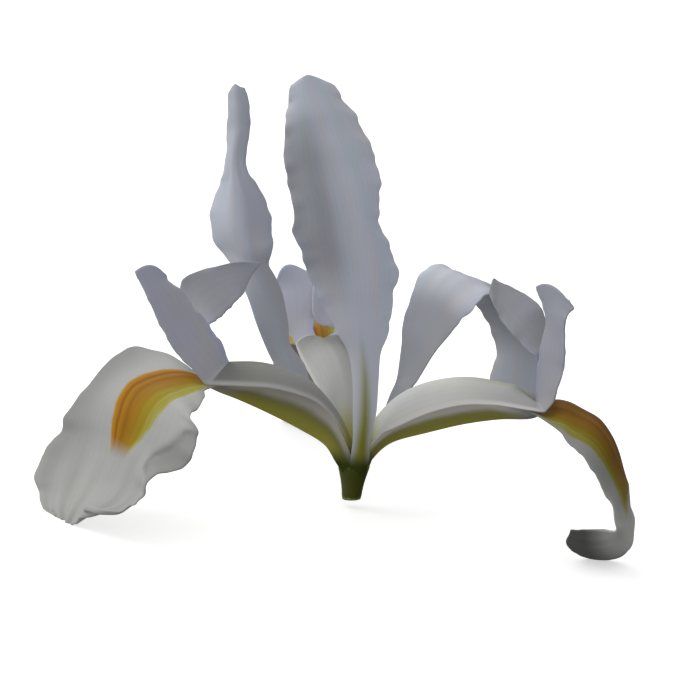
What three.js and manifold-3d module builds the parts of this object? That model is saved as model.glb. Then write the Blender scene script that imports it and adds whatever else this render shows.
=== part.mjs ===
// The blossom of a white iris, picked just below its petals: a short green tube carries three
// falls that arch outward and hang, three standards, and over the claw of each fall a style arm
// that ends in two upright crests. A stamen lies hidden under each style arm.
// It stands unheld on the tips of its three falls.

import * as THREE from 'three';
import { mergeVertices } from 'three/addons/utils/BufferGeometryUtils.js';
import Module from 'manifold-3d';

const wasm = await Module();
wasm.setup();

// Driving dimensions, in millimetres and degrees. The blossom's own frame has the tube's cut end
// at its origin and the tube upright. A petal's own directions there are outward, sideways
// (anticlockwise seen from above) and up.
const TUBE_LENGTH = 7.2;
const TUBE_CUT_RADIUS = 1.9;
const TUBE_MOUTH_RADIUS = 3.9;
const PETAL_THICKNESS = 0.7;
const STYLE_THICKNESS = 0.7;
const FILAMENT_RADIUS = 0.55;
const ANTHER_LENGTH = 10;
const ANTHER_WIDTH = 1.8;
const ANTHER_DEPTH = 1.2;
const CLEARANCE = 0.3;

// Where the three thirds of the flower point, seen from above.
const LEFT = 218;
const RIGHT = -20;
const BACK = 103;

// How the picked blossom comes to rest on its falls: the turn about X, the turn about Y, and
// the way from the tube's cut end to the middle of the blossom's footprint.
const LEAN_X = -2.64;
const LEAN_Y = -8.81;
const LIFT = 2;
const MIDDLE_X = -3.18;
const MIDDLE_Y = 7.76;

// Half-width of a fall's claw and the rise of its margins over the keel, station by station.
const CLAW = [[1.7, 1.3], [2.9, 2.7], [3.5, 3.3], [3.9, 3.1], [4, 2.5], [4.8, 1.1]];

// Half-width of a style arm and the drop of its margins under the ridge, station by station.
const ARM = [[1.1, 1.2], [2.3, 3], [3.9, 4.7], [4.7, 4.8], [5.1, 4.5], [5.4, 3.6]];

// The falls. A keel station is [out, up]. A blade station holds the three points
// [out, side, up] of the clockwise edge, the midrib and the anticlockwise edge.
const FALLS = {
  left: {
    azimuth: LEFT,
    keel: [[3.5, 7.8], [7.5, 11.5], [13.5, 15.5], [20.5, 19.5], [27, 23], [33.5, 26]],
    blade: [
      [[38.5, -7, 32.5], [38, 0, 29.5], [39.5, 7, 27]],
      [[43.5, -12, 32], [43, 0, 29.5], [43, 11, 26]],
      [[49.5, -14, 27.5], [48, 0, 27], [48, 15, 25]],
      [[53.5, -15.5, 22.5], [52, 0, 23.5], [49, 18, 23]],
      [[56.5, -16, 17.5], [53.5, 0, 19], [50.5, 18.5, 18]],
      [[59.5, -17.5, 12.5], [54.5, 0, 14], [54, 13, 14.5]],
      [[61, -16, 8], [56.5, 0, 10], [55.5, 11, 10.5]],
      [[61, -13, 5.5], [59, 0, 7.5], [58.5, 8.5, 8]],
      [[62, -6, 5.5], [62, 0, 5], [61.5, 5, 7.5]],
    ],
    waves: { clockwise: [5, 0.1, 0.7], anticlockwise: [8, 0.3, 0.8] },
  },
  right: {
    azimuth: RIGHT,
    keel: [[3.5, 7.8], [8, 12], [14.5, 15], [22, 17], [29, 18.2], [35.5, 18.8]],
    blade: [
      [[40, -7, 20], [40, 0, 21.3], [38, 7, 19.5]],
      [[44.5, -10.5, 17.2], [45, 0, 19.8], [41, 11, 16.5]],
      [[48.3, -12.5, 14], [49, 0, 16.3], [45, 13, 12]],
      [[51.6, -13.2, 9.8], [51.5, 0, 11.5], [47.5, 14, 7]],
      [[54.2, -13, 6], [53, 0, 6], [50.5, 14, 2]],
      [[55, -12, 3], [53.8, 0, 1], [51.5, 13, -3]],
      [[53.8, -10.5, 0.5], [53.3, 0, -4.5], [51.5, 10.5, -7]],
      [[49, -8.5, -0.5], [49.5, 0, -7.7], [48, 8, -9.5]],
      [[42.8, -5, -1.8], [42.5, 0, -5.8], [42, 4, -7.2]],
    ],
    waves: { clockwise: [6, 0.2, 0.5], anticlockwise: [7, 0.6, 0.6] },
  },
  back: {
    azimuth: BACK,
    keel: [[3.5, 7.8], [7.5, 11], [14, 15.2], [20.5, 18.6], [27, 21.2], [33, 23.6]],
    blade: [
      [[38, -8, 25.5], [38.5, 0, 26.6], [38, 6.5, 24]],
      [[42, -12, 25.5], [43, 0, 27.8], [41.5, 7.5, 21.5]],
      [[46, -14, 24], [47.5, 0, 27], [45, 8, 18]],
      [[50, -15, 20.5], [51.5, 0, 24], [48, 7.5, 15]],
      [[53, -15.5, 17], [54, 0, 19.5], [51, 7, 12.5]],
      [[56, -15, 12.5], [56, 0, 14.5], [53.5, 6.5, 10]],
      [[58, -13, 8.5], [58, 0, 9.5], [56, 5.5, 7.8]],
      [[59.5, -9, 5.5], [59.5, 0, 5.2], [58.5, 4.5, 5.5]],
      [[60.5, -5, 3.3], [60.5, 0, 2.5], [60, 3, 3.5]],
    ],
    waves: { clockwise: [6, 0.4, 0.7], anticlockwise: [7, 0, 0.6] },
  },
};

// The standards, from the tube to the tip, with the same three points in each station.
const STANDARDS = {
  front: {
    azimuth: 282,
    blade: [
      [[3.1, -0.4, 7.9], [3.5, 0.5, 7.9], [3.1, 1.4, 7.9]],
      [[5.9, -1, 15.4], [6.4, 0.8, 15.2], [5.9, 2.8, 15.2]],
      [[8, -2, 25.5], [9, -0.3, 25], [8, 3, 25]],
      [[9.6, -5.6, 35], [11.7, -1.3, 35], [9.8, 3.8, 35]],
      [[12.1, -10.9, 44.5], [14.7, -2.9, 44], [12, 4.9, 43.5]],
      [[14.2, -14.2, 52], [16.7, -4.6, 52], [14, 3, 51.5]],
      [[16, -15.5, 60], [18, -6.5, 60], [16, 0.4, 60]],
      [[16.8, -16.6, 69], [18.7, -8.6, 69], [16.8, -1.1, 69]],
      [[17.5, -16.2, 77], [19, -10.8, 77], [17.5, -5, 76.5]],
      [[17.5, -14.5, 81.5], [18.5, -12.5, 82.5], [17.5, -10, 81.5]],
    ],
    waves: { clockwise: [7, 0.2, 0.5], anticlockwise: [9, 0.5, 0.7] },
  },
  left: {
    azimuth: 160,
    blade: [
      [[2.9, -1, 8], [3.3, 0, 8], [2.9, 1, 8]],
      [[7.5, -2.5, 15], [7.5, 0, 15.5], [8, 2.5, 16]],
      [[12, -4.3, 24], [12.5, -0.5, 25], [13.5, 4, 25]],
      [[17.6, -6.6, 35], [18, -0.5, 35.5], [18.7, 6, 36]],
      [[21.5, -8.5, 44.5], [22, -0.5, 45], [22.5, 7.7, 46]],
      [[20.5, -8, 49.5], [23, 0, 51], [26.5, 8, 51.5]],
      [[21, -8, 55], [23.5, 0, 56.5], [26.5, 8, 56]],
      [[24.5, -8, 61], [24, 0, 62], [24, 8.5, 62]],
      [[26, -7.5, 67], [24, 0.5, 68], [22.5, 8, 68]],
      [[24.5, -6, 73.5], [24, 0, 74.5], [23.3, 6.5, 74]],
      [[24, -4, 78], [23.5, 0, 79], [23.5, 4.5, 79]],
    ],
    waves: { clockwise: [7, 0.1, 0.35], anticlockwise: [6, 0.6, 0.35] },
  },
  right: {
    azimuth: 40,
    blade: [
      [[2.9, -1, 8.1], [3.3, 0, 8.1], [2.9, 1, 8.1]],
      [[6.7, -1.8, 13], [7, -0.2, 13], [7.3, 1.2, 12.3]],
      [[11, -2.3, 20], [11.8, 0.4, 20], [12.6, 2.8, 19]],
      [[15.5, -4, 26.5], [16.3, 0.8, 27], [16.8, 5.3, 26]],
      [[19, -5.3, 32.2], [19.8, 1.5, 34.5], [20.2, 8.3, 33.5]],
      [[24.3, -5.5, 37], [25, 2, 41.5], [25, 10, 40]],
      [[30.5, -5.5, 39.3], [31.5, 2.5, 40.8], [32, 11, 40.2]],
      [[37.5, -5.5, 38], [38.5, 2.5, 38], [39.5, 11, 36]],
      [[42.5, -6, 33], [43.3, 2, 32.5], [44.5, 10, 30.5]],
      [[45, -6.5, 26], [45.3, 1.5, 26], [46, 9, 25]],
      [[45, -5.5, 20], [45, 1.5, 19.5], [45.5, 8.5, 19.5]],
      [[43.5, -3.5, 15.5], [43, 1.5, 15], [43, 7, 15]],
    ],
    waves: { clockwise: [7, 0.2, 0.5], anticlockwise: [8, 0.4, 0.5] },
  },
};

// The style arms. A ridge station is [out, up]. Each crest lobe follows with its inner,
// ruffled edge and its outer, straight edge, as points [out, side, up].
const STYLE_ARMS = {
  left: {
    azimuth: LEFT,
    ridge: [[1.2, 10], [4.5, 17], [10.5, 24], [17.5, 27.3], [24, 29.4], [29, 30]],
    anticlockwise: {
      inner: [[31, 1, 32], [33.5, 1.5, 35], [35.5, 2, 38.5], [39, 3, 42.5], [42, 3.5, 45.4], [46, 4, 48.7]],
      outer: [[38, 5.6, 28.3], [41, 6, 31], [45, 6.5, 34.5], [48.3, 7, 39.3], [51, 7, 44], [54.3, 7, 50.5]],
    },
    clockwise: {
      inner: [[30, -1, 32.5], [31, -2, 34.5], [32, -3, 37], [26.8, -4, 39.5], [22, -5, 42], [18.5, -6, 44]],
      outer: [[30.5, -6, 26.5], [32, -7, 31], [33, -8.5, 36.5], [33.5, -9.5, 42.5], [29, -9.5, 46], [21, -8, 47]],
    },
  },
  right: {
    azimuth: RIGHT,
    ridge: [[1.2, 10], [4.5, 16], [9.5, 21], [16, 24], [24, 25], [31, 24.3]],
    anticlockwise: {
      inner: [[35, 0.5, 23.5], [36, 1.5, 27], [34.5, 3, 30.5], [31, 4, 34.5], [27.5, 5.5, 37.5], [24.5, 7, 40.5]],
      outer: [[36.5, 5.5, 21.8], [37.5, 6.5, 24.8], [37, 8, 31], [35, 8.5, 37], [29.5, 9, 41.5], [24, 9, 42.2]],
    },
    clockwise: {
      inner: [[35, -0.5, 23.5], [37, -1.5, 26], [38, -2, 31.5], [38.5, -2.5, 37], [37.5, -3, 40], [36.3, -3, 44.2]],
      outer: [[38.5, -6, 22], [41.5, -6.2, 25], [42.5, -6.5, 30.5], [43, -7, 36], [43, -7.3, 39], [44.5, -7.5, 42]],
    },
  },
  back: {
    azimuth: BACK,
    ridge: [[1.2, 10], [5, 17], [10, 22.3], [16, 25.8], [22, 27.6], [28, 28.2]],
    anticlockwise: {
      inner: [[31.5, 0.5, 28.5], [32, 1, 31], [31.7, 1.5, 34], [32, 2, 37], [33.5, 3, 41]],
      outer: [[31, 6.7, 25.8], [31.5, 7.8, 28.5], [32.3, 8.8, 32], [34, 9, 36.5], [32, 8.5, 41]],
    },
    clockwise: {
      inner: [[31.5, -0.5, 28.5], [32, -1, 31], [31.7, -1.5, 34], [32, -2, 37], [33.5, -3, 41]],
      outer: [[31, -6.7, 25.8], [31.5, -7.8, 28.5], [32.3, -8.8, 32], [34, -9, 36.5], [32, -8.5, 41]],
    },
  },
};

// The stamens' filaments, from the tube to the anther, each station [out, up].
const FILAMENTS = {
  left: [[3.2, 9.4], [7.5, 15], [13.5, 20], [19.5, 23.8]],
  right: [[3.2, 9.4], [7.5, 14.3], [13.5, 18], [19.5, 20.3]],
  back: [[3.2, 9.4], [7.5, 14.5], [13.5, 19], [19.5, 22]],
};

const radians = THREE.MathUtils.degToRad;

const settle = new THREE.Matrix4().makeTranslation(-MIDDLE_X, -MIDDLE_Y, LIFT);
settle.multiply(new THREE.Matrix4().makeRotationY(radians(LEAN_Y)));
settle.multiply(new THREE.Matrix4().makeRotationX(radians(LEAN_X)));

// A point given as outward, sideways and up from the tube's cut end, turned to its azimuth.
function place(azimuth, [out, side, up]) {
  const turn = radians(azimuth);
  return new THREE.Vector3(
    out * Math.cos(turn) - side * Math.sin(turn),
    out * Math.sin(turn) + side * Math.cos(turn),
    up,
  );
}

function rail(azimuth, points) {
  return new THREE.CatmullRomCurve3(points.map((point) => place(azimuth, point)), false, 'catmullrom', 0.5);
}

function surfaceNormals(grid) {
  const last = grid.length - 1;
  const end = grid[0].length - 1;
  return grid.map((row, i) => row.map((point, j) => {
    const along = grid[Math.min(i + 1, last)][j].clone().sub(grid[Math.max(i - 1, 0)][j]);
    const across = row[Math.min(j + 1, end)].clone().sub(row[Math.max(j - 1, 0)]);
    return along.cross(across).normalize();
  }));
}

// The middle surface of a petal: at each row its section runs from the clockwise rail through
// the rib to the anticlockwise rail, as a parabola, or as a V where the claw is keeled. The
// corners of the tip are rounded off, and the two margins are waved.
function petalSurface({ clockwise, rib, anticlockwise, keeled, tipRound, waves, rows, columns }) {
  const flat = [];
  for (let i = 0; i <= rows; i += 1) {
    const row = [];
    for (let j = 0; j <= columns; j += 1) {
      const v = (2 * j) / columns - 1;
      const u = (i / rows) * (1 - tipRound * v * v);
      const low = clockwise.getPoint(u);
      const mid = rib.getPoint(u);
      const high = anticlockwise.getPoint(u);
      const curved = low.clone().multiplyScalar((v * (v - 1)) / 2);
      curved.addScaledVector(mid, 1 - v * v).addScaledVector(high, (v * (v + 1)) / 2);
      const bent = mid.clone().lerp(v > 0 ? high : low, Math.abs(v));
      row.push(curved.lerp(bent, keeled * THREE.MathUtils.smoothstep(1 - u, 0.5, 0.75)));
    }
    flat.push(row);
  }
  const normals = surfaceNormals(flat);
  return flat.map((row, i) => row.map((point, j) => {
    const v = (2 * j) / columns - 1;
    const u = i / rows;
    const [count, phase, depth] = v > 0 ? waves.anticlockwise : waves.clockwise;
    const grown = THREE.MathUtils.smoothstep(u, 0.35, 0.7) * Math.abs(v) ** 3;
    const swing = depth * grown * Math.sin(2 * Math.PI * (count * u + phase));
    return point.clone().addScaledVector(normals[i][j], swing);
  }));
}

// A closed blade of even thickness round a middle surface, split alike on both faces.
function blade(grid, thickness) {
  const rows = grid.length;
  const columns = grid[0].length;
  const normals = surfaceNormals(grid);
  const positions = [];
  for (const offset of [thickness / 2, -thickness / 2]) {
    grid.forEach((row, i) => row.forEach((point, j) => {
      positions.push(...point.clone().addScaledVector(normals[i][j], offset).toArray());
    }));
  }
  const front = (i, j) => i * columns + j;
  const back = (i, j) => rows * columns + i * columns + j;
  const index = [];
  for (let i = 0; i < rows - 1; i += 1) {
    for (let j = 0; j < columns - 1; j += 1) {
      index.push(front(i, j), front(i + 1, j), front(i + 1, j + 1));
      index.push(front(i, j), front(i + 1, j + 1), front(i, j + 1));
      index.push(back(i, j), back(i + 1, j + 1), back(i + 1, j));
      index.push(back(i, j), back(i, j + 1), back(i + 1, j + 1));
    }
  }
  const rim = [];
  for (let i = 0; i < rows - 1; i += 1) rim.push([i, 0]);
  for (let j = 0; j < columns - 1; j += 1) rim.push([rows - 1, j]);
  for (let i = rows - 1; i > 0; i -= 1) rim.push([i, columns - 1]);
  for (let j = columns - 1; j > 0; j -= 1) rim.push([0, j]);
  rim.forEach(([i, j], k) => {
    const [m, n] = rim[(k + 1) % rim.length];
    index.push(front(i, j), back(i, j), back(m, n));
    index.push(front(i, j), back(m, n), front(m, n));
  });
  const geometry = new THREE.BufferGeometry();
  geometry.setAttribute('position', new THREE.Float32BufferAttribute(positions, 3));
  geometry.setIndex(index);
  return geometry;
}

function toSolid(geometry) {
  const plain = geometry.clone();
  plain.deleteAttribute('normal');
  plain.deleteAttribute('uv');
  const merged = mergeVertices(plain, 1e-4);
  return new wasm.Manifold(new wasm.Mesh({
    numProp: 3,
    vertProperties: new Float32Array(merged.attributes.position.array),
    triVerts: new Uint32Array(merged.index.array),
  }));
}

function toGeometry(solid) {
  const mesh = solid.getMesh();
  const geometry = new THREE.BufferGeometry();
  geometry.setAttribute('position', new THREE.BufferAttribute(mesh.vertProperties, 3));
  geometry.setIndex(new THREE.BufferAttribute(mesh.triVerts, 1));
  return geometry;
}

const FLOOR_SIZE = 400;
const floor = toSolid(
  new THREE.BoxGeometry(FLOOR_SIZE, FLOOR_SIZE, FLOOR_SIZE).translate(0, 0, -FLOOR_SIZE / 2),
);

// Each fall bears on the floor with a small flat at its lowest point.
function restOnFloor(geometry) {
  return toGeometry(toSolid(geometry).subtract(floor));
}

const flower = new THREE.Group();

function addPiece(name, geometry, material) {
  const mesh = new THREE.Mesh(geometry, material);
  mesh.name = name;
  flower.add(mesh);
}

// The perianth tube: green, a little wider at its mouth, where all the petals start.
function addTube() {
  const profile = [
    [0, 0],
    [TUBE_CUT_RADIUS, 0],
    [TUBE_CUT_RADIUS + 0.15, 1.5],
    [TUBE_CUT_RADIUS + 0.55, 3.6],
    [TUBE_MOUTH_RADIUS - 0.8, 5.6],
    [TUBE_MOUTH_RADIUS, TUBE_LENGTH - 0.3],
    [TUBE_MOUTH_RADIUS, TUBE_LENGTH],
    [0, TUBE_LENGTH],
  ].map(([radius, up]) => new THREE.Vector2(radius, up));
  const material = new THREE.MeshStandardMaterial({ color: 0x5a6b25, roughness: 0.55, metalness: 0 });
  const geometry = new THREE.LatheGeometry(profile, 20).rotateX(Math.PI / 2).applyMatrix4(settle);
  addPiece('tube', geometry, material);
}

// A fall: a keeled claw that arches outward, then a broad blade that hangs down.
function addFall(side) {
  const { azimuth, keel, blade: stations, waves } = FALLS[side];
  const margin = (sign) => keel.map(([out, up], i) => [out, sign * CLAW[i][0], up + CLAW[i][1]]);
  const surface = petalSurface({
    clockwise: rail(azimuth, [...margin(-1), ...stations.map((station) => station[0])]),
    rib: rail(azimuth, [...keel.map(([out, up]) => [out, 0, up]), ...stations.map((station) => station[1])]),
    anticlockwise: rail(azimuth, [...margin(1), ...stations.map((station) => station[2])]),
    keeled: 0.8,
    tipRound: 0.03,
    waves,
    rows: 30,
    columns: 8,
  });
  const material = new THREE.MeshStandardMaterial({ color: 0xe3e4e6, roughness: 0.6, metalness: 0 });
  addPiece(`fall_${side}`, restOnFloor(blade(surface, PETAL_THICKNESS).applyMatrix4(settle)), material);
}

// A standard: narrow where it leaves the tube, then a long soft blade.
function addStandard(side) {
  const { azimuth, blade: stations, waves } = STANDARDS[side];
  const surface = petalSurface({
    clockwise: rail(azimuth, stations.map((station) => station[0])),
    rib: rail(azimuth, stations.map((station) => station[1])),
    anticlockwise: rail(azimuth, stations.map((station) => station[2])),
    keeled: 0.3,
    tipRound: 0.04,
    waves,
    rows: 26,
    columns: 8,
  });
  const material = new THREE.MeshStandardMaterial({ color: 0xd6d9e4, roughness: 0.6, metalness: 0 });
  addPiece(`standard_${side}`, blade(surface, PETAL_THICKNESS).applyMatrix4(settle), material);
}

// A style arm: a roof of two halves over the claw, which run on as two upright crest lobes.
const ROOF_BULGE = 0.7;
function addStyleArm(side) {
  const { azimuth, ridge, ...lobes } = STYLE_ARMS[side];
  const half = (sign, { inner, outer }) => {
    const top = [...ridge.map(([out, up]) => [out, sign * 0.1, up]), ...inner];
    const low = [...ridge.map(([out, up], i) => [out, sign * ARM[i][0], up - ARM[i][1]]), ...outer];
    const mid = top.map(([out, sidewards, up], i) => [
      (out + low[i][0]) / 2,
      (sidewards + low[i][1]) / 2 + sign * ROOF_BULGE,
      (up + low[i][2]) / 2 + ROOF_BULGE,
    ]);
    const surface = petalSurface({
      clockwise: rail(azimuth, sign > 0 ? top : low),
      rib: rail(azimuth, mid),
      anticlockwise: rail(azimuth, sign > 0 ? low : top),
      keeled: 0,
      tipRound: 0.02,
      waves: { clockwise: [5, 0.2, sign > 0 ? 0.5 : 0], anticlockwise: [5, 0.4, sign > 0 ? 0 : 0.5] },
      rows: 24,
      columns: 5,
    });
    return toSolid(blade(surface, STYLE_THICKNESS));
  };
  const whole = half(1, lobes.anticlockwise).add(half(-1, lobes.clockwise));
  const material = new THREE.MeshStandardMaterial({ color: 0xe6e7de, roughness: 0.55, metalness: 0 });
  addPiece(`style_arm_${side}`, toGeometry(whole).applyMatrix4(settle), material);
}

// A stamen: a thin filament between claw and style arm, and the long anther on its end.
function addStamen(side, azimuth) {
  const path = rail(azimuth, FILAMENTS[side].map(([out, up]) => [out, 0, up]));
  const section = new THREE.Shape().absarc(0, 0, FILAMENT_RADIUS, 0, 2 * Math.PI);
  const filament = new THREE.ExtrudeGeometry(section, { extrudePath: path, steps: 10, curveSegments: 4 });
  const pale = new THREE.MeshStandardMaterial({ color: 0xe9ead8, roughness: 0.6, metalness: 0 });
  addPiece(`filament_${side}`, filament.applyMatrix4(settle), pale);

  const heading = path.getTangent(1);
  const middle = path.getPoint(1).addScaledVector(heading, ANTHER_LENGTH / 2 + CLEARANCE);
  const sideways = place(azimuth, [0, 1, 0]);
  const turn = new THREE.Matrix4().makeBasis(heading, sideways, heading.clone().cross(sideways));
  const anther = new THREE.SphereGeometry(0.5, 12, 8).scale(ANTHER_LENGTH, ANTHER_WIDTH, ANTHER_DEPTH);
  anther.applyMatrix4(turn).translate(...middle.toArray());
  const pollen = new THREE.MeshStandardMaterial({ color: 0xd9c98a, roughness: 0.8, metalness: 0 });
  addPiece(`anther_${side}`, anther.applyMatrix4(settle), pollen);
}

addTube();
for (const side of ['left', 'right', 'back']) {
  addFall(side);
  addStyleArm(side);
  addStamen(side, FALLS[side].azimuth);
}
for (const side of ['front', 'left', 'right']) addStandard(side);

export default flower;
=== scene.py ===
import math

import bpy
from mathutils import Matrix, Vector


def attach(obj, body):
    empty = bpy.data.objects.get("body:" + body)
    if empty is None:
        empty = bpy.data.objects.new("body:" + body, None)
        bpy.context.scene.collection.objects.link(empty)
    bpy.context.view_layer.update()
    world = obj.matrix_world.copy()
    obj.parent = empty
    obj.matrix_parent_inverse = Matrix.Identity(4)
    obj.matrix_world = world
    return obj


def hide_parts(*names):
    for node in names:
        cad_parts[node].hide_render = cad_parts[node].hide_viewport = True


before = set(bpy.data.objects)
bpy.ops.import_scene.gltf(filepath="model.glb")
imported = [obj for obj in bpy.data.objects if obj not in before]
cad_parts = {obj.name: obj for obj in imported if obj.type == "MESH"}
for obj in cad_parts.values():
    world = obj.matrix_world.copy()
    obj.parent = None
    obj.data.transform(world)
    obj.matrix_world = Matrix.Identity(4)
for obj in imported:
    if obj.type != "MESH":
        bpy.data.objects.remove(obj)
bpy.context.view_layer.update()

# The blossom was picked and put down loose, and it rests unheld on the tips of its three falls.
# Sizes are in millimetres in the blossom's own frame, with the tube's cut end at its origin and
# the tube upright, and `settle` leans them to that rest.
MM = 0.001
LEAN_X = math.radians(-2.64)
LEAN_Y = math.radians(-8.81)
LIFT = 2
MIDDLE_X = -3.18
MIDDLE_Y = 7.76
lean = Matrix.Rotation(LEAN_Y, 4, "Y") @ Matrix.Rotation(LEAN_X, 4, "X")
settle = Matrix.Scale(MM, 4) @ Matrix.Translation((-MIDDLE_X, -MIDDLE_Y, LIFT)) @ lean

# The camera leans with the blossom, so its picture shows the tube upright, from a little above.
VIEW_CENTRE = Vector((-1, 0, 29.25))
VIEW_DISTANCE = 400
VIEW_DROP = math.radians(10)
NEAREST_SEEN = 10
SENSOR_WIDTH = 36
PICTURE_WIDTH = 700
FOCAL_PIXELS = 2080

camera_data = bpy.data.cameras.new("camera")
camera_data.sensor_width = SENSOR_WIDTH
camera_data.lens = SENSOR_WIDTH * FOCAL_PIXELS / PICTURE_WIDTH
camera_data.clip_start = NEAREST_SEEN * MM
camera = bpy.data.objects.new("camera", camera_data)
bpy.context.scene.collection.objects.link(camera)
bpy.context.scene.camera = camera
look_down = Matrix.Rotation(math.pi / 2 - VIEW_DROP, 4, "X")
forward = Vector((0, math.cos(VIEW_DROP), -math.sin(VIEW_DROP)))
eye = settle @ (VIEW_CENTRE - VIEW_DISTANCE * forward)
camera.matrix_world = Matrix.Translation(eye) @ lean @ look_down

# The floor is a pale sheet of a light table. It glows a little and throws no light on the petals,
# so they stay as grey from below as the photograph shows them, and they still shade the sheet.
FLOOR_SIZE = 8
FLOOR_GLOW = 0.55
SHEET_GRAIN = 60.0
SHEET_TONES = (0.9, 0.94)
WHITE = (1, 1, 1, 1)


def deselect_all():
    for thing in bpy.context.selected_objects:
        thing.select_set(False)


def new_material(name):
    material = bpy.data.materials.new(name)
    material.use_nodes = True
    tree = material.node_tree
    return material, tree, tree.nodes["Principled BSDF"]


# A socket that is given another node's output is linked to it, and any other value is set on it.
def connect(tree, node, sockets):
    for name, value in dict(sockets).items():
        if isinstance(value, bpy.types.NodeSocket):
            tree.links.new(value, node.inputs[name])
        else:
            node.inputs[name].default_value = value


def wire(tree, kind, sockets=(), **settings):
    node = tree.nodes.new(kind)
    for name, value in settings.items():
        setattr(node, name, value)
    connect(tree, node, sockets)
    return node


# The values from `first` to `second` as `factor` goes from 0 to 1.
def mix_value(tree, factor, first, second):
    node = wire(tree, "ShaderNodeMapRange", {"Value": factor, "To Min": first, "To Max": second})
    return node.outputs["Result"]


deselect_all()
bpy.ops.mesh.primitive_plane_add(size=FLOOR_SIZE)
floor = bpy.context.object
floor.name = "floor"
floor.visible_diffuse = False
floor.visible_glossy = False
floor.visible_transmission = False
pale_sheet, tree, shader = new_material("pale_sheet")
sheet_grain = wire(tree, "ShaderNodeTexNoise", {"Scale": SHEET_GRAIN, "Detail": 3.0})
connect(tree, shader, {
    "Base Color": mix_value(tree, sheet_grain.outputs["Fac"], *SHEET_TONES),
    "Roughness": 0.9,
    "Specular IOR Level": 0,
    "Emission Color": WHITE,
    "Emission Strength": FLOOR_GLOW,
})
floor.data.materials.append(pale_sheet)

# The room: a white backdrop that the camera sees, and soft daylight that comes from the upper left
# and fades towards the lower right, with two soft boxes to the left and behind.
DAYLIGHT_FROM = Vector((-0.72, -0.2, 0.66))
DAYLIGHT_SPREAD = 0.8
LIGHT_LOW = 0.095
LIGHT_HIGH = 0.74
BACKDROP_LIGHT = 1.1
LIT_SPOT = Vector((0, 0, 0.04))
SOFT_BOX_SIZE = 0.5
world = bpy.data.worlds.new("soft_room")
bpy.context.scene.world = world
world.use_nodes = True
room = world.node_tree
room.nodes.clear()
direction = wire(room, "ShaderNodeTexCoord").outputs["Generated"]
facing = wire(
    room,
    "ShaderNodeVectorMath",
    {0: direction, 1: DAYLIGHT_FROM.normalized()},
    operation="DOT_PRODUCT",
)
strength = wire(
    room,
    "ShaderNodeMapRange",
    {
        "Value": facing.outputs["Value"],
        "From Min": -DAYLIGHT_SPREAD,
        "From Max": DAYLIGHT_SPREAD,
        "To Min": LIGHT_LOW,
        "To Max": LIGHT_HIGH,
    },
    interpolation_type="SMOOTHSTEP",
)
daylight = wire(room, "ShaderNodeBackground", {"Color": WHITE, "Strength": strength.outputs["Result"]})
backdrop = wire(room, "ShaderNodeBackground", {"Color": WHITE, "Strength": BACKDROP_LIGHT})
seen = wire(room, "ShaderNodeLightPath").outputs["Is Camera Ray"]
both = wire(room, "ShaderNodeMixShader", {0: seen, 1: daylight.outputs[0], 2: backdrop.outputs[0]})
wire(room, "ShaderNodeOutputWorld", {"Surface": both.outputs[0]})
bpy.context.scene.view_settings.view_transform = "Standard"

for name, stand, power in (
    ("soft_box_left", Vector((-0.65, -0.1, 0.55)), 1.8),
    ("soft_box_behind", Vector((-0.2, 0.75, 0.5)), 1.6),
):
    lamp = bpy.data.lights.new(name, "AREA")
    lamp.shape = "DISK"
    lamp.size = SOFT_BOX_SIZE
    lamp.energy = power
    soft_box = bpy.data.objects.new(name, lamp)
    bpy.context.scene.collection.objects.link(soft_box)
    soft_box.location = stand
    soft_box.rotation_euler = (LIT_SPOT - stand).to_track_quat("-Z", "Y").to_euler()


# The perianth tube: the short green neck, cut across its foot, from which all the petals spring.
# It widens into a funnel, and its rim is hidden among the feet of the petals. Its rings are given
# by their radius and height.
TUBE_FOOT = (0.9, 0.35)
TUBE_RINGS = [
    (1.5, 0.1), (1.72, -0.08), (1.8, -0.1), (1.84, 0.1), (1.93, 0.6), (2.04, 1.6), (2.22, 2.8),
    (2.48, 4),
]
THROAT_RINGS = [(2.76, 5), (3.02, 6), (3.08, 6.5), (2.98, 6.8), (2.5, 6.6), (1.6, 6.4), (0.6, 6.3)]
TUBE_SHIFT = -0.72
TUBE_LEAN = 0.08
TUBE_SIDES = 96
MOUTH_HEIGHT = 8
STREAK_STRETCH = (1600, 1600, 180)
STREAK_SHARE = 0.22
CUT_GREEN = (0.26, 0.32, 0.1)
LOW_GREEN = (0.04, 0.075, 0.006)
DARK_GREEN = (0.044, 0.078, 0.005)
FOOT_GREEN = (0.26, 0.27, 0.03)


def edit_all(operator, **settings):
    bpy.ops.object.mode_set(mode="EDIT")
    bpy.ops.mesh.select_all(action="SELECT")
    operator(**settings)
    bpy.ops.object.mode_set(mode="OBJECT")


deselect_all()
radius_now, height_now = TUBE_FOOT
bpy.ops.mesh.primitive_circle_add(vertices=TUBE_SIDES, radius=radius_now * MM, fill_type="TRIFAN")
tube = bpy.context.object
tube.name = "perianth_tube"
for vertex in tube.data.vertices:
    vertex.co.z = height_now * MM
bpy.ops.object.mode_set(mode="EDIT")
bpy.ops.mesh.select_all(action="DESELECT")
bpy.ops.mesh.select_non_manifold()
for radius, up in TUBE_RINGS + THROAT_RINGS:
    rise = (0, 0, (up - height_now) * MM)
    bpy.ops.mesh.extrude_region_move(TRANSFORM_OT_translate={"value": rise})
    bpy.ops.transform.resize(value=(radius / radius_now, radius / radius_now, 1))
    radius_now, height_now = radius, up
bpy.ops.mesh.merge(type="CENTER")
bpy.ops.object.mode_set(mode="OBJECT")
edit_all(bpy.ops.mesh.normals_make_consistent, inside=False)
for vertex in tube.data.vertices:
    spot = vertex.co / MM
    spot.x += TUBE_SHIFT + TUBE_LEAN * spot.z
    vertex.co = settle @ spot


def figure(tree, operation, *values):
    return wire(tree, "ShaderNodeMath", enumerate(values), operation=operation).outputs[0]


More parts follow.
